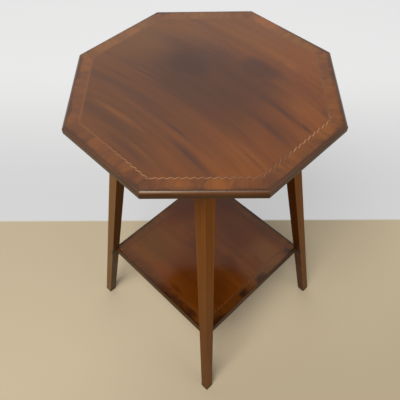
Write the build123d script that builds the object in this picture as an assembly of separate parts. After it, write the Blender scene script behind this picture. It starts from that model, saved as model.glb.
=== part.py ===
from build123d import *
import os
from math import pi, sqrt, tan

# Edwardian inlaid occasional table: a fixed octagonal top and a square undershelf
# on four square tapered legs that splay both ways.
# Origin on the floor under the middle of the top, +Z up. The shelf's sides lie
# along X and Y, the legs stand on the diagonals, and two flats of the top face X.

# ---- driving dimensions, in millimetres --------------------------------------

TABLE_HEIGHT = 720.0        # floor to the face of the top
TOP_ACROSS_FLATS = 450.0
TOP_THICKNESS = 15.0
TOP_NOSE = 4.5              # width and depth of the swell on the top's moulded edge
TOP_LOWER_ROUND = 2.0       # small round on its lower arris

FOOT_SPREAD = 400.0         # outside the legs, at the floor
HEAD_SPREAD = 225.0         # outside the legs, under the top
LEG_FOOT = 19.0             # side of a leg's square section, at the floor
LEG_HEAD = 26.0             # the same, under the top
LEG_ARRIS = 0.7             # chamfer that eases a leg's long edges

RAIL_DEPTH = 48.0           # frieze rails that join the legs under the top
RAIL_THICKNESS = 16.0
RAIL_SETBACK = 2.5          # rails stand back this far from the legs' outer faces
TENON_THICKNESS = 6.0
TENON_SHOULDER = 8.0        # above and below each tenon
TENON_GAP = 1.0             # between the two tenons that meet inside a leg
MORTISE_CLEARANCE = 0.5     # at the end of a tenon

BLOCK_LEG = 42.0            # corner block, along each rail
BLOCK_END = 6.0             # width of its blunt ends
BLOCK_HEIGHT = 28.0
BLOCK_CLEARANCE = 0.5       # round the leg's inner arris

SHELF_HEIGHT = 213.0        # floor to the face of the undershelf
SHELF_THICKNESS = 10.0
SHELF_NOSE = 4.0
SHELF_LOWER_ROUND = 1.5
SHELF_HOUSING = 9.5         # how far a shelf corner is let into the leg's inner faces

EDGE_FILLET = 1.0           # flat between the crossbanding and the edge's swell
EDGE_QUIRK = 0.5            # step down from that flat to the swell
EDGE_FLATNESS = 1.8         # radius of the swell, in widths of it (1 is a quarter round)
VENEER_THICKNESS = 1.0      # crossbanding and stringing, let into a rebate
TOP_CROSSBAND = 20.0        # width of the crossbanding
SHELF_CROSSBAND = 20.0
CROSSBAND_LENGTH = 46.0     # about the length of each short cross-grain piece
STRINGING_WIDTH = 3.0

DOWEL_RADIUS = 2.5
DOWEL_IN_SHELF = 20.0       # along the diagonal from the shelf's corner
DOWEL_IN_LEG = 8.0
DOWEL_CHAMFER = 0.6
DOWEL_CLEARANCE = 0.1

SCREW_RADIUS = 2.2          # slotted countersunk wood screws through the corner blocks
SCREW_HEAD_RADIUS = 4.4
SCREW_HEAD_HEIGHT = 2.6
SCREW_POINT = 4.0
SCREW_BITE = 10.0           # length inside the top board
SCREW_RECESS = 1.0          # head below the face of the block
SCREW_CLEARANCE = 0.3
SLOT_WIDTH = 1.1
SLOT_DEPTH = 1.2

TOP_SIDES = ("right", "back_right", "back", "back_left", "left", "front_left", "front", "front_right")
SHELF_SIDES = ("right", "back", "left", "front")
CORNERS = ("back_right", "back_left", "front_left", "front_right")

# ---- sizes that follow --------------------------------------------------------

LEG_LENGTH = TABLE_HEIGHT - TOP_THICKNESS
TOP_APOTHEM = TOP_ACROSS_FLATS / 2
RAIL_BOTTOM = LEG_LENGTH - RAIL_DEPTH
BLOCK_BOTTOM = LEG_LENGTH - BLOCK_HEIGHT
SHELF_MIDDLE = SHELF_HEIGHT - SHELF_THICKNESS / 2


def outer_face(z):
    """Distance from the table's middle plane to a leg's outer face at height z."""
    return (FOOT_SPREAD + (HEAD_SPREAD - FOOT_SPREAD) * z / LEG_LENGTH) / 2


def inner_face(z):
    """The same, to its inner face: the leg tapers on this side."""
    return outer_face(z) - (LEG_FOOT + (LEG_HEAD - LEG_FOOT) * z / LEG_LENGTH)


def rail_inner(z):
    """Distance from the middle plane to the inner face of a frieze rail."""
    return outer_face(z) - RAIL_SETBACK - RAIL_THICKNESS


def tenon_inner(z):
    """Distance from the middle plane to the inner cheek of a rail's tenons."""
    return outer_face(z) - RAIL_SETBACK - (RAIL_THICKNESS + TENON_THICKNESS) / 2


SHELF_HALF = inner_face(SHELF_MIDDLE) + SHELF_HOUSING

# a screw stands midway between the block's long face and the leg's inner arris
BLOCK_MIDDLE = BLOCK_BOTTOM + BLOCK_HEIGHT / 2
SCREW_AXIS = (rail_inner(BLOCK_MIDDLE) - (BLOCK_LEG + BLOCK_END) / 2 + inner_face(BLOCK_MIDDLE)) / 2
SCREW_PLACE = Pos(SCREW_AXIS, SCREW_AXIS, BLOCK_BOTTOM + SCREW_RECESS)
SCREW_LENGTH = BLOCK_HEIGHT - SCREW_RECESS + SCREW_BITE


# ---- shapes used by several pieces ----------------------------------------------

def canted_block(outline_at, low, high):
    """Solid with flat leaning sides, from the outline that outline_at gives at each height."""
    base = [Vector(x, y, low) for x, y in outline_at(low)]
    head = [Vector(x, y, high) for x, y in outline_at(high)]
    sides = [
        Face(Wire.make_polygon([base[i - 1], base[i], head[i], head[i - 1]]))
        for i in range(len(base))
    ]
    return Solid(Shell(sides + [Face(Wire.make_polygon(base)), Face(Wire.make_polygon(head))]))


def rectangle(near_x, far_x, near_y, far_y):
    return [(near_x, near_y), (far_x, near_y), (far_x, far_y), (near_x, far_y)]


def half_side(apothem, sides):
    return apothem * tan(pi / sides)


def panel(apothem, sides, low, high):
    """Flat board with equal sides, one of them facing +X."""
    outline = RegularPolygon(apothem, sides, major_radius=False, rotation=180 / sides)
    return Pos(0, 0, low) * extrude(outline, high - low)


def band(inner, width, sides, top, count):
    """Band of veneer on the +X side: butted pieces, as many as count, mitred at the corners."""
    outer = inner + width
    near, far = half_side(inner, sides), half_side(outer, sides)
    joints = [near * (2 * i / count - 1) for i in range(1, count)]
    ends = [(-near, -far)] + [(y, y) for y in joints] + [(near, far)]
    pieces = []
    for (start_in, start_out), (end_in, end_out) in zip(ends, ends[1:]):
        outline = Polygon(
            (inner, start_in), (outer, start_out), (outer, end_out), (inner, end_in), align=None
        )
        pieces.append(Pos(0, 0, top - VENEER_THICKNESS) * extrude(outline, VENEER_THICKNESS))
    return pieces


def edge_moulding(apothem, sides, top, thickness, nose, lower_round):
    """One side's edge moulding on the +X side: flat, quirk and swell, mitred at the corners."""
    bottom = top - thickness
    shoulder = top - EDGE_QUIRK
    side_top, side_bottom = (apothem, shoulder - nose), (apothem, bottom + lower_round)
    round_end, quirk_foot = (apothem - lower_round, bottom), (apothem - nose, shoulder)
    back = apothem - nose - EDGE_FILLET
    outline = Line(side_top, side_bottom) + RadiusArc(side_bottom, round_end, lower_round)
    outline += Polyline(round_end, (back, bottom), (back, top), (apothem - nose, top), quirk_foot)
    outline += RadiusArc(quirk_foot, side_top, EDGE_FLATNESS * nose)
    half = half_side(apothem, sides)
    bar = extrude(make_face(Plane.XZ * outline), half, both=True)
    sector = extrude(Polygon((0, 0), (apothem, -half), (apothem, half), align=None), thickness)
    return bar & Pos(0, 0, bottom) * sector


def around(piece, count):
    """Equal copies of a piece about the table's middle, anticlockwise from the first."""
    return [Rot(0, 0, 360 * k / count) * piece for k in range(count)]


def named(kind, piece, places):
    """The same copies as nodes, each named after its kind and place."""
    return {f"{kind}_{place}": copy for place, copy in zip(places, around(piece, len(places)))}


def banded_panel(prefix, side_names, apothem, top, thickness, nose, lower_round, crossband_width):
    """Board with a raised field, crossbanding, chequer stringing and a mitred edge moulding."""
    sides = len(side_names)
    board_edge = apothem - nose - EDGE_FILLET
    stringing_outer = board_edge - crossband_width
    field_edge = stringing_outer - STRINGING_WIDTH
    bottom = top - thickness
    board = panel(board_edge, sides, bottom, top - VENEER_THICKNESS)
    board += panel(field_edge, sides, top - VENEER_THICKNESS, top)
    strip = band(field_edge, STRINGING_WIDTH, sides, top, 1)[0]
    short_pieces = round(2 * half_side(board_edge, sides) / CROSSBAND_LENGTH)
    crossband = Compound(band(stringing_outer, crossband_width, sides, top, short_pieces))
    moulding = edge_moulding(apothem, sides, top, thickness, nose, lower_round)
    nodes = {f"{prefix}_board": board}
    for kind, piece in (("stringing", strip), ("crossband", crossband), ("edge_moulding", moulding)):
        nodes |= named(f"{prefix}_{kind}", piece, side_names)
    return nodes


# ---- pieces, made for the back right corner or the right side -------------------

def on_diagonal(radius, start, end):
    """Round bar along the diagonal at mid shelf, measured from the shelf's corner outwards."""
    axis = Plane((SHELF_HALF, SHELF_HALF, SHELF_MIDDLE), x_dir=(0, 0, 1), z_dir=(1, 1, 0))
    bar = Cylinder(radius, end - start, align=(Align.CENTER, Align.CENTER, Align.MIN))
    return axis * Pos(0, 0, start) * bar


def dowel():
    pin = on_diagonal(DOWEL_RADIUS, -DOWEL_IN_SHELF, DOWEL_IN_LEG)
    return chamfer(pin.edges().filter_by(GeomType.CIRCLE), DOWEL_CHAMFER)


def dowel_hole():
    reach = DOWEL_CLEARANCE
    return on_diagonal(DOWEL_RADIUS + reach, -DOWEL_IN_SHELF - reach, DOWEL_IN_LEG + reach)


def tenons(extra=0.0):
    """Bar through the right rail that ends in its two tenons; extra lengthens both."""
    def outline(z):
        cheek = tenon_inner(z)
        end = cheek - TENON_GAP + extra
        return rectangle(cheek, cheek + TENON_THICKNESS, -end, end)
    return canted_block(outline, RAIL_BOTTOM + TENON_SHOULDER, LEG_LENGTH - TENON_SHOULDER)


def rail():
    """Frieze rail: it leans with the legs' faces, and its shoulders meet their tapered sides."""
    def outline(z):
        return rectangle(rail_inner(z), outer_face(z) - RAIL_SETBACK, -inner_face(z), inner_face(z))
    return canted_block(outline, RAIL_BOTTOM, LEG_LENGTH) + tenons()


def leg_blank(clearance=0.0):
    """Tapered leg with its four long edges eased; clearance thickens it towards the middle."""
    def outline(z):
        near, far, ease = inner_face(z) - clearance, outer_face(z), LEG_ARRIS
        return [
            (near + ease, near), (far - ease, near), (far, near + ease), (far, far - ease),
            (far - ease, far), (near + ease, far), (near, far - ease), (near, near + ease),
        ]
    return canted_block(outline, 0, LEG_LENGTH)


def leg():
    """Square tapered leg, with the shelf's housing, two mortises and a dowel hole."""
    housing = Pos(0, 0, SHELF_MIDDLE) * Box(2 * SHELF_HALF, 2 * SHELF_HALF, SHELF_THICKNESS)
    mortise = tenons(MORTISE_CLEARANCE)
    mortises = mortise + Rot(0, 0, 90) * mortise
    return leg_blank() - housing - mortises - dowel_hole()


def corner_block():
    """Three-sided block glued behind a leg, between two rails, and bored for its screw."""
    def outline(z):
        face = rail_inner(z)
        far = face - BLOCK_LEG
        blunt = [(far, face - BLOCK_END), (face - BLOCK_END, far)]
        return [(face, far), (face, face), (far, face)] + blunt
    blank = canted_block(outline, BLOCK_BOTTOM, LEG_LENGTH) - leg_blank(BLOCK_CLEARANCE)
    head, shank = SCREW_HEAD_RADIUS + SCREW_CLEARANCE, SCREW_RADIUS + SCREW_CLEARANCE
    hole = turned([
        (0, -SCREW_RECESS), (head, -SCREW_RECESS), (head, 0),
        (shank, SCREW_HEAD_HEIGHT), (shank, BLOCK_HEIGHT), (0, BLOCK_HEIGHT),
    ])
    return blank - SCREW_PLACE * hole


def turned(outline):
    """Solid of revolution about Z, from radius and height pairs."""
    return revolve(make_face(Plane.XZ * Polyline(*outline, close=True)), Axis.Z)


def screw():
    """Wood screw, point up, with its head's face at the origin."""
    tip = SCREW_LENGTH
    body = turned([
        (0, 0), (SCREW_HEAD_RADIUS, 0), (SCREW_RADIUS, SCREW_HEAD_HEIGHT),
        (SCREW_RADIUS, tip - SCREW_POINT), (0, tip),
    ])
    return body - Box(3 * SCREW_HEAD_RADIUS, SLOT_WIDTH, 2 * SLOT_DEPTH)


def pilot_hole():
    """Hole for the screw in the underside of the top board."""
    hole = Cylinder(SCREW_RADIUS, SCREW_BITE, align=(Align.CENTER, Align.CENTER, Align.MIN))
    return Pos(SCREW_AXIS, SCREW_AXIS, LEG_LENGTH) * hole


# ---- the table -------------------------------------------------------------------

def table():
    """Every node of the table, by name."""
    top = banded_panel(
        "top", TOP_SIDES, TOP_APOTHEM, TABLE_HEIGHT, TOP_THICKNESS, TOP_NOSE, TOP_LOWER_ROUND,
        TOP_CROSSBAND
    )
    top["top_board"] -= Compound(around(pilot_hole(), len(CORNERS)))

    shelf = banded_panel(
        "shelf", SHELF_SIDES, SHELF_HALF, SHELF_HEIGHT, SHELF_THICKNESS, SHELF_NOSE,
        SHELF_LOWER_ROUND, SHELF_CROSSBAND
    )
    dowel_holes = Compound(around(dowel_hole(), len(CORNERS)))
    for name in ["shelf_board"] + [f"shelf_edge_moulding_{side}" for side in SHELF_SIDES]:
        shelf[name] -= dowel_holes

    frame = named("leg", leg(), CORNERS) | named("corner_block", corner_block(), CORNERS)
    frame |= named("rail", rail(), SHELF_SIDES)
    frame["top_screws"] = Compound(around(SCREW_PLACE * screw(), len(CORNERS)))
    frame["shelf_dowels"] = Compound(around(dowel(), len(CORNERS)))
    return top | shelf | frame


os.makedirs("parts", exist_ok=True)
for node, shape in table().items():
    shape.label = node
    export_step(shape, f"parts/{node}.step")
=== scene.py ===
"""Looks of the octagonal inlaid occasional table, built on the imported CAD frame.

Every visible piece of the table is a node of the frame. This script gives each node its
material, and adds the camera, the floor and the light. Right is +X and back is +Y.
"""
import math

import bpy
from mathutils import Matrix, Vector


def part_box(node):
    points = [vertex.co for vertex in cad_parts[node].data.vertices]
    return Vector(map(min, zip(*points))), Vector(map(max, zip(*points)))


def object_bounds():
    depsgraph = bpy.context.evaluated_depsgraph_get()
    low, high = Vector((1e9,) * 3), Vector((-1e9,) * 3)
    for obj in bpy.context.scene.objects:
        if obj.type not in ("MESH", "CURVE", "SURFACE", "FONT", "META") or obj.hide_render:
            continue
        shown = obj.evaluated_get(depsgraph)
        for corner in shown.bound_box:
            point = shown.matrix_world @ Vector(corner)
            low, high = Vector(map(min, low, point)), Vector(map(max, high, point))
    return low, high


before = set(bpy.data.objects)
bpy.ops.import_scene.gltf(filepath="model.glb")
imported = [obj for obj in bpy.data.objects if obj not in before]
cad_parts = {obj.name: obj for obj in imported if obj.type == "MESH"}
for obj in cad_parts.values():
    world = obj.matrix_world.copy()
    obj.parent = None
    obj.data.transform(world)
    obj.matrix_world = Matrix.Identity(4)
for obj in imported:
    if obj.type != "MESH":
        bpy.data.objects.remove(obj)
cad_low, cad_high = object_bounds()
scene = bpy.context.scene

# ---- the table's main sizes, in metres, read from the frame ------------------------------

MM = 0.001
WIDTH = cad_high.x - cad_low.x
HEIGHT = cad_high.z
TOP_SIDES = 8
SHELF_SIDES = 4


def reach_of(node):
    """Inner and outer distance from the middle of the table of a node on its +X side."""
    low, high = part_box(node)
    return low.x, high.x


def square_at(node, level):
    """Inner and outer X of a right leg's square section near a level."""
    xs = [v.co.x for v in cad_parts[node].data.vertices if abs(v.co.z - level) < MM]
    return min(xs), max(xs)


LEG = "leg_back_right"
LEG_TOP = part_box(LEG)[1].z
FOOT_INNER, FOOT_OUTER = square_at(LEG, 0)
HEAD_INNER, HEAD_OUTER = square_at(LEG, LEG_TOP)
SHELF_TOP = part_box("shelf_board")[1].z

# ---- shader helpers ------------------------------------------------------------------------


def rgb(red, green, blue):
    """Linear colour from screen values of 0 to 255."""
    def linear(v):
        v /= 255
        return v / 12.92 if v <= 0.04045 else ((v + 0.055) / 1.055) ** 2.4
    return (linear(red), linear(green), linear(blue), 1.0)


class Tree:
    """A node tree. Each value is a number, a colour or another node's output."""

    def __init__(self, tree):
        self.nodes = tree.nodes
        self.links = tree.links

    def feed(self, socket, value):
        """Links a socket to an output or sets it to a value. None leaves it as it is."""
        if isinstance(value, bpy.types.NodeSocket):
            self.links.new(value, socket)
        elif value is not None:
            socket.default_value = value

    def add(self, kind, *values, **settings):
        """A new node with these settings, its first inputs fed with the values in turn."""
        node = self.nodes.new("ShaderNode" + kind)
        for key, value in settings.items():
            setattr(node, key, value)
        for socket, value in zip(node.inputs, values):
            self.feed(socket, value)
        return node

    def math(self, operation, a, b=None, c=None):
        return self.add("Math", a, b, c, operation=operation).outputs[0]

    def times(self, a, b):
        return self.math("MULTIPLY", a, b)

    def plus(self, a, b):
        return self.math("ADD", a, b)

    def minus(self, a, b):
        return self.math("SUBTRACT", a, b)

    def times_plus(self, a, factor, b):
        return self.math("MULTIPLY_ADD", a, factor, b)

    def absolute(self, a):
        return self.math("ABSOLUTE", a)

    def length(self, a, b):
        return self.math("SQRT", self.plus(self.times(a, a), self.times(b, b)))

    def vector(self, x, y, z):
        return self.add("CombineXYZ", x, y, z).outputs[0]

    def place(self):
        """X, Y and Z in the frame's own metres."""
        return self.add("SeparateXYZ", self.add("TexCoord").outputs["Object"]).outputs

    def seen(self):
        """1 for a ray that sees or mirrors the scene, 0 for one that only lights it."""
        path = self.add("LightPath").outputs
        mirrored = self.math("MAXIMUM", path["Is Glossy Ray"], path["Is Transmission Ray"])
        return self.math("MAXIMUM", path["Is Camera Ray"], mirrored)

    def noise(self, vector, scale=1.0, detail=2.0, roughness=0.5):
        node = self.add("TexNoise")
        for name, value in (("Vector", vector), ("Scale", scale), ("Detail", detail),
                            ("Roughness", roughness)):
            self.feed(node.inputs[name], value)
        return node.outputs["Fac"]

    def mottle(self, scale, detail, roughness=0.5):
        """Noise that stays where it is in the frame, finer where scale is greater."""
        return self.noise(self.add("TexCoord").outputs["Object"], scale, detail, roughness)

    def random(self, x, y, z):
        """A fixed random number from 0 to 1 for each set of whole numbers."""
        return self.add("TexWhiteNoise", self.vector(x, y, z), noise_dimensions="3D").outputs[0]

    def span(self, value, low, high, to_low=0.0, to_high=1.0):
        """Smooth step from to_low, where value is low, to to_high."""
        node = self.add("MapRange", interpolation_type="SMOOTHSTEP")
        for index, v in enumerate((value, low, high, to_low, to_high)):
            self.feed(node.inputs[index], v)
        return node.outputs[0]

    def mix(self, share, a, b):
        node = self.add("Mix", data_type="RGBA", clamp_factor=True)
        for index, value in ((0, share), (6, a), (7, b)):
            self.feed(node.inputs[index], value)
        return node.outputs[2]

    def fade(self, colour, tint, strength, value, clear, full):
        """Lays a tint over a colour, from none where value is clear to strength at full."""
        return self.mix(self.span(value, clear, full, 0.0, strength), colour, tint)


class Finish(Tree):
    """One material of the table or the floor."""

    def __init__(self, name):
        self.material = bpy.data.materials.new(name)
        self.material.use_nodes = True
        super().__init__(self.material.node_tree)
        self.shader = self.nodes["Principled BSDF"]

    def done(self, colour, roughness, height=None, depth=0.0, **plain):
        """Joins the colour, the roughness and the bump, and sets the shader's plain values."""
        self.feed(self.shader.inputs["Base Color"], colour)
        self.feed(self.shader.inputs["Roughness"], roughness)
        for name, value in plain.items():
            self.shader.inputs[name.replace("_", " ")].default_value = value
        if height is not None:
            bump = self.add("Bump")
            bump.inputs["Distance"].default_value = depth
            self.feed(bump.inputs["Height"], height)
            self.feed(self.shader.inputs["Normal"], bump.outputs[0])
        return self.material


# ---- wood ----------------------------------------------------------------------------------

WAVE_LENGTH, WAVE_WIDTH = 200 * MM, 125 * MM    # of the slow bends that the grain takes
FIBRE_LENGTH, FIBRE_WIDTH, FIBRE_SHADE = 60 * MM, 1.4 * MM, 0.30
PORE_LENGTH, PORE_WIDTH, PORE_SHADE = 9 * MM, 0.4 * MM, 0.40
PATCH_RIM = 1.1    # how far out a patch of tint fades to nothing, as a share of its size


class Wood(Finish):
    """Polished wood. Its grain is set once, by where a point lies along and across it."""

    def set_grain(self, along, across, depth, figure=24 * MM, run=330 * MM, bend=6 * MM):
        """Streaks as wide as figure and as long as run, fine fibres and short dark pores."""
        slow_along = self.times(along, 1 / WAVE_LENGTH)
        slow_across = self.times(across, 1 / WAVE_WIDTH)
        wave = self.noise(self.vector(slow_along, slow_across, depth), detail=1)
        across = self.times_plus(wave, bend, across)

        def stretched(length, width, detail, roughness=0.5):
            vector = self.vector(
                self.times(along, 1 / length),
                self.times(across, 1 / width),
                self.times(depth, 1 / width))
            return self.noise(vector, detail=detail, roughness=roughness)

        self.streaks = stretched(run, figure, 4, 0.52)
        self.fibres = stretched(FIBRE_LENGTH, FIBRE_WIDTH, 3, 0.6)
        self.pores = self.span(stretched(PORE_LENGTH, PORE_WIDTH, 1), 0.62, 0.72)

    def colour(self, light, dark, pore, contrast=1.0):
        """Light wood under dark streaks, as strong as contrast, and its fibres and pores."""
        result = self.fade(light, dark, contrast, self.streaks, 0.34, 0.68)
        result = self.fade(result, dark, FIBRE_SHADE, self.fibres, 0.30, 0.75)
        return self.mix(self.times(self.pores, PORE_SHADE), result, pore)

    def polar(self, sides):
        """Distance out from the middle, distance along the nearest side, and its number.

        Side 0 faces +X, and the numbers rise anticlockwise, seen from above.
        """
        x, y, _ = self.place()
        turn = 2 * math.pi / sides
        angle = self.math("ARCTAN2", y, x)
        side = self.math("ROUND", self.math("DIVIDE", angle, turn))
        off = self.minus(angle, self.times(side, turn))
        reach = self.length(x, y)
        out = self.times(reach, self.math("COSINE", off))
        along = self.times(reach, self.math("SINE", off))
        return out, along, side

    def patches(self, x, y, rows, core):
        """The strongest of some soft oval patches. Core is the share of each at full strength."""
        total = 0.0
        for centre_x, centre_y, length, width, strength in rows:
            off_x = self.math("DIVIDE", self.minus(x, centre_x * MM), length * MM)
            off_y = self.math("DIVIDE", self.minus(y, centre_y * MM), width * MM)
            spot = self.span(self.length(off_x, off_y), PATCH_RIM, core, 0.0, strength)
            total = self.math("MAXIMUM", total, spot)
        return total

    def tinted(self, colour, x, y, tints, core=0.0):
        """Lays each tint of a table over a colour, in its own patches."""
        for tint, rows in tints:
            colour = self.mix(self.patches(x, y, rows, core), colour, tint)
        return colour

    def polished(self, colour, roughness, depth, spread=0.05, **plain):
        """The finished wood, its polish rubbed in soft smears and its fibres as deep as depth."""
        smear = self.mottle(scale=18.0, detail=3)
        rubbed = self.span(smear, 0.3, 0.7, roughness - spread, roughness + spread)
        return self.done(colour, rubbed, self.fibres, depth, **plain)


# Each tint below has its colour and its patches. A patch has the x and y of its middle, half
# its length along x and half its width along y, all in mm, and its strength. On the top's
# field the grain bows, so a patch of its grain or clouds has a row in place of y: a line of
# the grain keeps the same row, which is y + GRAIN_BOW * x * x in metres.
GRAIN_BOW = 0.5
TOP_GRAIN = (
    # Lighter flames.
    (rgb(138, 80, 24), (
        (-100, -34, 44, 4, 0.50),
        (-88, -47, 44, 4, 0.40),
        (-60, -140, 80, 8, 0.45),
        (30, 149, 40, 5, 0.40),
        (68, 145, 20, 10, 0.40),
        (150, -45, 60, 7, 0.40),
        (40, -168, 60, 6, 0.30),
        (150, 82, 60, 20, 0.30),
    )),
    # Darker figure.
    (rgb(72, 38, 20), (
        (128, 54, 80, 8, 0.80),
        (182, 56, 22, 6, 0.85),
        (142, 13, 70, 10, 0.70),
        (10, -102, 130, 9, 0.65),
        (38, -102, 55, 7, 0.90),
        (95, -121, 66, 9, 0.85),
        (15, -182, 95, 10, 0.60),
        (-78, 4, 50, 14, 0.45),
        (-95, 50, 36, 9, 0.35),
        (25, 105, 34, 17, 0.35),
        (165, -52, 44, 4, 0.50),
        (108, -27, 40, 3, 0.40),
        (-130, -70, 42, 5, 0.45),
        (-172, -22, 30, 5, 0.30),
        (184, 105, 16, 9, 0.50),
    )),
)
TOP_CLOUDS = (
    # Soft brown clouds under the polish.
    (rgb(68, 33, 6), (
        (-8, 24, 200, 122, 0.82),
        (-62, 26, 90, 56, 1.00),
        (34, 92, 70, 44, 0.85),
        (115, 22, 110, 56, 0.45),
    )),
)
TOP_BLEACH_AND_REFLECTION = (
    # Bleached wood and a painted grey reflection, towards the left and the back.
    (rgb(116, 74, 18), (
        (-185, 15, 100, 90, 0.40),
        (-70, 165, 170, 60, 0.30),
        (-140, 100, 90, 60, 0.25),
    )),
)
TOP_CROSSBAND_TINTS = (
    # Bright polish.
    (rgb(160, 90, 20), (
        (126, -176, 26, 22, 0.24),
        (168, -136, 24, 20, 0.24),
        (-44, 214, 36, 24, 0.40),
        (160, 150, 30, 40, 0.18),
    )),
    # Bleached wood.
    (rgb(146, 100, 40), (
        (-214, -6, 30, 100, 0.30),
        (-150, 152, 50, 50, 0.20),
        (20, 214, 60, 24, 0.15),
    )),
    # Stains.
    (rgb(72, 36, 16), (
        (216, -70, 24, 34, 0.45),
        (216, 10, 20, 60, 0.20),
        (82, -214, 34, 26, 0.40),
        (-60, -214, 24, 20, 0.30),
        (0, -214, 120, 24, 0.20),
    )),
)
# Colour of the painted shade on the mouldings, and of their stains.
EDGE_PAINTED_SHADE_AND_STAIN = rgb(40, 21, 2)
EDGE_STAINS = (
    (EDGE_PAINTED_SHADE_AND_STAIN, (
        (226, -10, 24, 110, 0.32),
        (70, -238, 30, 22, 0.25),
    )),
)
SHELF_TINTS = (
    # Dust.
    (rgb(128, 86, 46), ((118, 88, 60, 50, 0.40), (-105, -60, 80, 90, 0.12))),
    # Dull polish.
    (rgb(84, 60, 24), ((-100, -90, 80, 70, 0.35), (150, 50, 30, 60, 0.30))),
    # Warm polish.
    (rgb(92, 38, 0), ((-125, 50, 56, 72, 0.85), (-85, 128, 80, 40, 0.80))),
    # Dark polish, from greyer to redder.
    (rgb(66, 36, 22), ((-12, -14, 46, 36, 0.45), (30, 75, 60, 40, 0.15))),
    (rgb(72, 30, 3), ((62, -78, 118, 92, 0.60), (75, 5, 40, 30, 0.40))),
    (rgb(60, 30, 10), ((-80, -152, 110, 20, 0.45),)),
    (rgb(54, 16, 0), ((50, -152, 110, 20, 0.50), (154, -40, 20, 120, 0.30))),
    # Stains.
    (rgb(30, 16, 10), (
        (150, 134, 14, 14, 0.75),
        (152, 32, 11, 18, 0.70),
        (150, -28, 10, 16, 0.80),
        (154, -116, 9, 16, 0.60),
        (55, -152, 46, 9, 0.55),
        (100, -150, 24, 8, 0.55),
        (0, -156, 60, 7, 0.35),
    )),
)


def top_field():
    """Streaky mahogany, older and darker towards the front left."""
    t = Wood("mahogany_top")
    x, y, z = t.place()
    row = t.times_plus(t.times(x, x), GRAIN_BOW, y)
    t.set_grain(x, row, z)
    drift = t.minus(t.mottle(scale=9.0, detail=3), 0.5)
    aged = t.span(t.times_plus(drift, 0.3, t.plus(x, y)), 0.12, -0.16)
    light = t.mix(aged, rgb(128, 68, 9), rgb(106, 57, 10))
    dark = t.mix(aged, rgb(99, 50, 8), rgb(80, 43, 10))
    colour = t.colour(light, dark, rgb(52, 28, 10), 0.8)
    streaky_row = t.times_plus(t.minus(t.streaks, 0.5), 16 * MM, row)
    cloudy_row = t.times_plus(drift, 60 * MM, row)
    colour = t.tinted(colour, x, streaky_row, TOP_GRAIN)
    colour = t.tinted(colour, x, cloudy_row, TOP_CLOUDS, core=0.3)
    colour = t.tinted(colour, x, y, TOP_BLEACH_AND_REFLECTION, core=0.2)
    return t.polished(colour, roughness=0.30, depth=0.05 * MM)


SHELF_SPECULAR = 0.42


def shelf_field():
    """Darker mahogany with a higher polish."""
    t = Wood("mahogany_shelf")
    x, y, z = t.place()
    t.set_grain(x, y, z)
    colour = t.colour(rgb(116, 60, 6), rgb(94, 46, 5), rgb(46, 23, 5), 0.7)
    drift = t.minus(t.mottle(scale=14.0, detail=4), 0.5)
    cloudy_y = t.times_plus(drift, 90 * MM, y)
    colour = t.tinted(colour, x, cloudy_y, SHELF_TINTS, core=0.3)
    return t.polished(
        colour, roughness=0.13, depth=0.02 * MM, spread=0.03, Specular_IOR_Level=SHELF_SPECULAR)


LEAN_SEED = 3.0          # gives the joints of each side their own lean
TONE_SHADE = 0.55        # how much darker the darkest piece is
GLUE_SHADE = 0.5
GLUE_HALF = 0.1 * MM     # half the width of a joint where it is darkest
JOINT_HALF = 1.2 * MM    # half its width where the shade has gone
MITRE_HALF = 1.5 * MM    # the same for the mitre between two sides
GRIME_SHADE = 0.85
GRIME_WIDTH = 9 * MM     # from the band's outer edge, where more dirt has gathered


def crossband(name, sides, node, pieces, light, dark, stain):
    """Short pieces of veneer, their grain across the band, each of a slightly different tone."""
    t = Wood(name)
    z = t.place()[2]
    out, along, side = t.polar(sides)
    inner, outer = reach_of(node)
    half_side = math.tan(math.pi / sides)    # half a side's length, one metre out
    pitch = 2 * inner * half_side / pieces
    slope = t.minus(t.random(side, LEAN_SEED, float(sides)), 0.35)
    lean = t.times(slope, t.minus(out, (inner + outer) / 2))
    place = t.math("DIVIDE", t.plus(along, lean), pitch)
    if pieces % 2:
        place = t.plus(place, 0.5)
    tone = t.random(t.math("FLOOR", place), side, float(sides))
    own_grain = t.times_plus(tone, 7.0, along)
    t.set_grain(out, own_grain, z, figure=16 * MM, run=60 * MM, bend=4 * MM)
    colour = t.colour(light, dark, rgb(50, 28, 16))
    colour = t.mix(t.times(tone, TONE_SHADE), colour, dark)
    to_joint = t.times(t.absolute(t.minus(place, t.math("ROUND", place))), pitch)
    to_mitre = t.minus(t.times(out, half_side), t.absolute(along))
    colour = t.fade(colour, stain, GLUE_SHADE, to_joint, JOINT_HALF, GLUE_HALF)
    colour = t.fade(colour, stain, GLUE_SHADE, to_mitre, MITRE_HALF, GLUE_HALF)
    near_edge = t.span(out, outer - GRIME_WIDTH, outer, 0.0, 0.30)
    grime = t.plus(t.mottle(scale=30.0, detail=4, roughness=0.6), near_edge)
    colour = t.fade(colour, stain, GRIME_SHADE, grime, 0.55, 0.95)
    return t, colour


def top_crossband():
    t, colour = crossband(
        "crossband_top", TOP_SIDES, "top_crossband_right", pieces=4,
        light=rgb(136, 78, 16), dark=rgb(102, 54, 12), stain=rgb(62, 36, 18))
    x, y, _ = t.place()
    colour = t.tinted(colour, x, y, TOP_CROSSBAND_TINTS, core=0.4)
    return t.polished(colour, roughness=0.28, depth=0.05 * MM)


def shelf_crossband():
    t, colour = crossband(
        "crossband_shelf", SHELF_SIDES, "shelf_crossband_right", pieces=7,
        light=rgb(118, 67, 16), dark=rgb(100, 54, 12), stain=rgb(38, 18, 6))
    x, y, _ = t.place()
    ragged = t.minus(t.mottle(scale=60.0, detail=4), 0.5)
    ragged_y = t.times_plus(ragged, 30 * MM, y)
    colour = t.tinted(colour, x, ragged_y, SHELF_TINTS, core=0.3)
    return t.polished(
        colour, roughness=0.16, depth=0.03 * MM, spread=0.03, Specular_IOR_Level=SHELF_SPECULAR)


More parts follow.
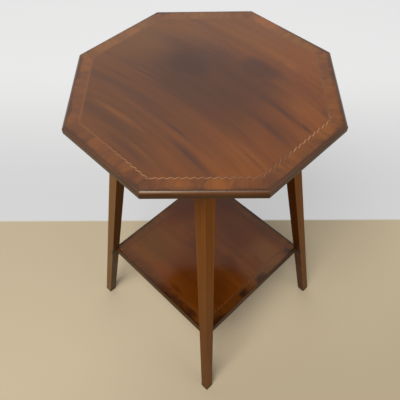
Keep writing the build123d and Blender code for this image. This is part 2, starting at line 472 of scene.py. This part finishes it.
STRAND_PITCH = 11.4 * MM
STRAND_SLANT = 3.4      # how far a strand runs along the strip for each metre across it
STRAND_HALF = 0.23      # half a light strand's width, as a share of the pitch
STRAND_BLUR = 0.03


def stringing(name, sides, node, light, dark, faded, roughness):
    """Rope stringing: light strands on the slant between dark ones, faded towards the left."""
    t = Wood(name)
    x, y, _ = t.place()
    out, along, _ = t.polar(sides)
    inner, outer = reach_of(node)
    slant = t.times_plus(t.minus(out, (inner + outer) / 2), STRAND_SLANT, along)
    phase = t.math("FRACT", t.math("DIVIDE", slant, STRAND_PITCH))
    off_strand = t.absolute(t.minus(phase, 0.5))
    strand = t.span(off_strand, STRAND_HALF + STRAND_BLUR, STRAND_HALF - STRAND_BLUR)
    kept = t.span(t.times_plus(y, -0.3, x), -0.02, 0.19, 0.12, 1.0)
    worn = t.span(t.mottle(scale=16.0, detail=3), 0.35, 0.65, 0.35, 1.0)
    strand = t.times(strand, t.times(kept, worn))
    return t.done(t.mix(strand, t.mix(kept, faded, dark), light), roughness)


CLEAN_SIDE = -1.0                 # the top's front right side, and the shelf's front side: no dirt, and a painted highlight
GRIME_AND_SHEEN_ELSEWHERE = 0.35            # strength of the dirt on all other sides; on the top's edge it is also a painted sheen
HIGHLIGHT_DROP = 1.5 * MM            # from the moulding's top to the line of painted highlight
HIGHLIGHT_HALF = 1.5 * MM            # half the width of that line
HIGHLIGHT_BLUR = 1.0 * MM
HIGHLIGHT_LEFT, HIGHLIGHT_RIGHT = 0.54, 0.12       # strength of the painted highlight along the clean side
QUIRK_FROM, QUIRK_TO = 1.0 * MM, 1.9 * MM    # painted shade in the quirk, from the moulding's inner edge
QUIRK_SHADE, CLEAN_QUIRK_SHADE = 0.25, 0.65
DROP_FROM, DROP_TO = 2 * MM, 7 * MM          # painted shade down the moulding's side, from its top
DROP_SHADE = 0.50


def edge_wood(name, sides, node, light, dark, rubbed, grime, specular):
    """Moulded edge, painted shade in its quirk and down its side, and one clean side with a
    painted highlight.
    """
    t = Wood(name)
    low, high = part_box(node)
    x, y, z = t.place()
    out, along, side = t.polar(sides)
    own_length = t.times_plus(side, 3.0, along)
    t.set_grain(own_length, t.plus(out, z), z, figure=7 * MM, run=120 * MM)
    colour = t.colour(light, dark, rgb(34, 22, 14))
    clean = t.math("COMPARE", side, CLEAN_SIDE, 0.1)
    # Painted highlight: a light line near the top of the clean side's moulding, fading along it.
    off_line = t.absolute(t.minus(z, high.z - HIGHLIGHT_DROP))
    line = t.span(off_line, HIGHLIGHT_HALF, HIGHLIGHT_HALF - HIGHLIGHT_BLUR)
    painted_highlight = t.times(line, t.span(along, -0.08, 0.0, HIGHLIGHT_LEFT, HIGHLIGHT_RIGHT))
    colour = t.mix(t.times(painted_highlight, clean), colour, rubbed)
    # Dirt on all other sides; on the top's edge its greyish colour is also a painted sheen.
    colour = t.mix(t.span(clean, 0.0, 1.0, GRIME_AND_SHEEN_ELSEWHERE, 0.0), colour, grime)
    # Painted shade in the quirk.
    quirk_shade = t.span(out, low.x + QUIRK_TO, low.x + QUIRK_FROM)
    quirk_shade = t.times(quirk_shade, t.span(clean, 0.0, 1.0, QUIRK_SHADE, CLEAN_QUIRK_SHADE))
    colour = t.mix(quirk_shade, colour, EDGE_PAINTED_SHADE_AND_STAIN)
    # Painted shade down the side of the moulding.
    colour = t.fade(colour, EDGE_PAINTED_SHADE_AND_STAIN, DROP_SHADE, z, high.z - DROP_FROM, high.z - DROP_TO)
    colour = t.tinted(colour, x, y, EDGE_STAINS, core=0.6)
    return t.polished(
        colour, roughness=0.34, depth=0.04 * MM, Specular_IOR_Level=specular)


def leg_wood():
    """Mahogany along the legs, rubbed and with painted highlights on the arrises, painted shade on
    the inner faces and round the shelf, and darker at the foot.
    """
    t = Wood("mahogany_legs")
    x, y, z = t.place()
    level = t.math("DIVIDE", z, LEG_TOP)
    outer = t.times_plus(level, HEAD_OUTER - FOOT_OUTER, FOOT_OUTER)
    inner = t.times_plus(level, HEAD_INNER - FOOT_INNER, FOOT_INNER)
    # How far a point lies inside the two outer faces of its leg, and inside the two inner ones.
    from_outer = [t.minus(outer, t.absolute(axis)) for axis in (x, y)]
    from_inner = [t.minus(t.absolute(axis), inner) for axis in (x, y)]
    nearest = [t.math("MINIMUM", far, near) for far, near in zip(from_outer, from_inner)]
    from_arris = t.math("MAXIMUM", *nearest)
    inwards = t.math("MINIMUM", *from_inner)
    from_shelf = t.length(t.minus(z, SHELF_TOP), t.times(inwards, 2.0))
    which_leg = t.times_plus(t.math("SIGN", x), 3.0, t.math("SIGN", y))
    own_length = t.plus(z, which_leg)
    t.set_grain(own_length, *from_outer, figure=9 * MM, run=300 * MM, bend=3 * MM)
    colour = t.colour(rgb(136, 75, 2), rgb(112, 61, 2), rgb(62, 34, 8), 0.8)
    shades = (
        # Rubbed arrises, with a painted highlight.
        (rgb(152, 100, 46), 0.40, from_arris, 2.2 * MM, 0.3 * MM),
        # Darker down the leg.
        (rgb(84, 47, 2), 0.60, level, 0.95, 0.20),
        # Paler on the left: bleached wood and painted light from the left.
        (rgb(142, 110, 70), 0.45, x, -0.02, -0.08),
        # Painted shade on the inner faces.
        (rgb(46, 20, 12), 0.65, inwards, 0.5 * MM, 0.1 * MM),
        # Painted shade round the shelf's corner, and darker at the foot.
        (rgb(34, 28, 18), 0.70, from_shelf, 14 * MM, 4 * MM),
        (rgb(58, 42, 24), 0.45, z, 26 * MM, 2 * MM),
    )
    for shade in shades:
        colour = t.fade(colour, *shade)
    return t.polished(colour, roughness=0.36, depth=0.05 * MM, Specular_IOR_Level=0.10)


def plain_wood(name, light, dark, roughness):
    """Wood of the pieces under the top."""
    t = Wood(name)
    x, y, z = t.place()
    t.set_grain(t.plus(x, y), z, t.minus(x, y), figure=12 * MM)
    return t.polished(t.colour(light, dark, dark), roughness, depth=0.10 * MM)


def steel():
    t = Finish("screw_steel")
    worn = t.mottle(scale=900.0, detail=3)
    colour = t.mix(worn, rgb(150, 146, 140), rgb(92, 84, 76))
    return t.done(colour, t.span(worn, 0.3, 0.7, 0.3, 0.5), Metallic=1.0)


# The look of every node whose name starts in this way.
LOOKS = {
    "top_board": top_field(),
    "top_stringing": stringing(
        "stringing_top", TOP_SIDES, "top_stringing_right",
        light=rgb(180, 124, 76), dark=rgb(84, 46, 20), faded=rgb(116, 66, 18), roughness=0.30),
    "top_crossband": top_crossband(),
    "top_edge": edge_wood(
        "edge_top", TOP_SIDES, "top_edge_moulding_right",
        # The rubbed colour is a painted highlight.
        light=rgb(98, 56, 14), dark=rgb(76, 42, 6), rubbed=rgb(154, 126, 98),
        # The greyish grime is dirt and a painted sheen.
        grime=rgb(104, 80, 70), specular=0.3),
    "shelf_board": shelf_field(),
    "shelf_stringing": stringing(
        "stringing_shelf", SHELF_SIDES, "shelf_stringing_right",
        light=rgb(130, 80, 46), dark=rgb(88, 43, 10), faded=rgb(88, 43, 10), roughness=0.16),
    "shelf_crossband": shelf_crossband(),
    "shelf_edge": edge_wood(
        "edge_shelf", SHELF_SIDES, "shelf_edge_moulding_right",
        # The rubbed colour is a painted highlight.
        light=rgb(84, 54, 24), dark=rgb(60, 38, 16), rubbed=rgb(110, 84, 52),
        grime=rgb(60, 38, 14), specular=0.2),
    "leg": leg_wood(),
    "rail": plain_wood("mahogany_rails", rgb(112, 64, 28), rgb(84, 46, 22), 0.4),
    "corner_block": plain_wood("pine_blocks", rgb(196, 156, 104), rgb(160, 118, 72), 0.7),
    "shelf_dowels": plain_wood("beech_dowels", rgb(206, 172, 124), rgb(176, 140, 96), 0.6),
    "top_screws": steel(),
}
for name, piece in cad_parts.items():
    look = next(look for start, look in LOOKS.items() if name.startswith(start))
    piece.data.materials.clear()
    piece.data.materials.append(look)

# ---- camera --------------------------------------------------------------------------------

CAMERA_AZIMUTH = 46.55          # degrees, from looking along +Y, towards the front right leg
CAMERA_ELEVATION = 52.83
CAMERA_ROLL = -1.53
CAMERA_DISTANCE = 2.422 * WIDTH
TARGET_HEIGHT = 0.5651 * HEIGHT
TARGET_SHIFT = -0.027 * WIDTH   # level, to the camera's right
SENSOR_WIDTH = 36               # mm
FOCAL_LENGTH = 45.18            # mm


def way_to(azimuth, elevation):
    """Unit vector from the table towards a view, as the views are named: 0 looks along +Y."""
    az, el = math.radians(azimuth), math.radians(elevation)
    return Vector((math.sin(az) * math.cos(el), -math.cos(az) * math.cos(el), math.sin(el)))


def add_camera():
    back = way_to(CAMERA_AZIMUTH, CAMERA_ELEVATION)
    level_right = Vector((0, 0, 1)).cross(back).normalized()
    target = TARGET_SHIFT * level_right + Vector((0, 0, TARGET_HEIGHT))
    axes = Matrix((level_right, back.cross(level_right), back)).transposed()
    data = bpy.data.cameras.new("camera")
    data.lens = FOCAL_LENGTH
    data.sensor_width = SENSOR_WIDTH
    camera = bpy.data.objects.new("camera", data)
    camera.matrix_world = (
        Matrix.Translation(target + CAMERA_DISTANCE * back) @ axes.to_4x4()
        @ Matrix.Rotation(math.radians(CAMERA_ROLL), 4, "Z"))
    scene.collection.objects.link(camera)
    scene.camera = camera


# ---- floor and light -------------------------------------------------------------------------

CLOTH_HEM = 8 * MM                   # width of the cloth's soft edge
# Distances from the middle of the table, in metres.
FLOOR_HALF = 12.0
CLOTH_EDGE = 0.225
PAINTED_LIGHT_FROM, PAINTED_LIGHT_TO = 0.3, 1.0    # where painted light makes the cloth whiter
PAINTED_SHADE_FROM, PAINTED_SHADE_TO = 0.0, 0.5    # where painted shade makes the mat duller
FAR_FROM, FAR_TO = 1.0, 3.0          # where the floor grows even
# Shares of the seen colour that no light or shadow reaches.
CLOTH_EVEN = 0.65
FAR_EVEN = 0.90


def floor_look():
    """A warm pale mat under the table, and white cloth beyond its back left leg.

    Where they are seen, the mat is duller to the right with painted shade, and part of the colour
    of the cloth and of the far floor is even. Further back, painted light makes the cloth whiter.
    """
    t = Finish("pale_floor")
    x, y, _ = t.place()
    behind = t.times(t.minus(y, x), math.sqrt(0.5))
    white = t.span(behind, CLOTH_EDGE, CLOTH_EDGE + CLOTH_HEM)
    painted_light = t.span(behind, PAINTED_LIGHT_FROM, PAINTED_LIGHT_TO)
    rightwards = t.times_plus(y, -0.35, x)
    painted_shade = t.times(t.seen(), t.span(rightwards, PAINTED_SHADE_FROM, PAINTED_SHADE_TO))
    mat = t.mix(painted_shade, rgb(205, 189, 160), rgb(188, 173, 146))
    cloth = t.mix(painted_light, rgb(236, 237, 239), rgb(250, 250, 250))
    t.done(t.mix(white, mat, cloth), 0.9, Specular_IOR_Level=0.0)
    even_cloth = t.mix(painted_light, rgb(207, 207, 207), rgb(240, 240, 240))
    even = t.add("Emission", t.mix(white, rgb(196, 182, 155), even_cloth))
    far = t.span(t.length(x, y), FAR_FROM, FAR_TO, 0.0, FAR_EVEN)
    share = t.times(t.seen(), t.math("MAXIMUM", t.times(white, CLOTH_EVEN), far))
    look = t.add("MixShader", share, t.shader.outputs["BSDF"], even.outputs["Emission"])
    t.feed(t.nodes["Material Output"].inputs["Surface"], look.outputs["Shader"])
    return t.material


def add_floor():
    """One plain square at the level of the feet."""
    corners = [
        (-FLOOR_HALF, -FLOOR_HALF, 0),
        (FLOOR_HALF, -FLOOR_HALF, 0),
        (FLOOR_HALF, FLOOR_HALF, 0),
        (-FLOOR_HALF, FLOOR_HALF, 0),
    ]
    mesh = bpy.data.meshes.new("floor")
    mesh.from_pydata(corners, [], [(0, 1, 2, 3)])
    mesh.materials.append(floor_look())
    floor = bpy.data.objects.new("floor", mesh)
    scene.collection.objects.link(floor)


def add_lamp(name, azimuth, elevation, distance, size, watts, colour):
    """Square soft lamp that looks at the middle of the table."""
    way = way_to(azimuth, elevation)
    data = bpy.data.lights.new(name, "AREA")
    data.size = size
    data.energy = watts
    data.color = colour
    lamp = bpy.data.objects.new(name, data)
    lamp.location = Vector((0, 0, HEIGHT / 2)) + way * distance
    lamp.rotation_euler = way.to_track_quat("Z", "Y").to_euler()
    scene.collection.objects.link(lamp)


ROOM_WHITE = rgb(250, 252, 255)
WINDOW_AZIMUTH, WINDOW_ELEVATION = 240, 10    # where the room is brightest
ROOM_DIM, ROOM_BRIGHT = 0.25, 1.28            # strength away from the window and at it
SEEN_DIM, SEEN_BRIGHT = 0.60, 0.95            # its limits where the room itself is seen
NO_LIMIT = 2.0


def add_world():
    """Soft white room that lights the back left more. Where it is seen, it stays pale and even."""
    world = bpy.data.worlds.new("room")
    world.use_nodes = True
    t = Tree(world.node_tree)
    window = way_to(WINDOW_AZIMUTH, WINDOW_ELEVATION)
    direction = t.add("TexCoord").outputs["Generated"]
    towards = t.add("VectorMath", direction, window, operation="DOT_PRODUCT").outputs["Value"]
    strength = t.span(towards, 0.55, 1.0, ROOM_DIM, ROOM_BRIGHT)
    palest = t.span(t.seen(), 0.0, 1.0, NO_LIMIT, SEEN_BRIGHT)
    darkest = t.span(t.seen(), 0.0, 1.0, 0.0, SEEN_DIM)
    limited = t.math("MINIMUM", t.math("MAXIMUM", strength, darkest), palest)
    background = t.nodes["Background"]
    t.feed(background.inputs["Color"], ROOM_WHITE)
    t.feed(background.inputs["Strength"], limited)
    scene.world = world


add_camera()
add_floor()
# The key lamp is high at the front left, and the weak fill lamp low on the right.
add_lamp(
    "key_lamp", azimuth=16, elevation=62, distance=3.6, size=1.65, watts=98,
    colour=(1.0, 0.97, 0.92))
add_lamp(
    "fill_lamp", azimuth=100, elevation=25, distance=2.4, size=1.4, watts=8,
    colour=(1.0, 0.98, 0.95))
add_world()
scene.view_settings.view_transform = "Standard"
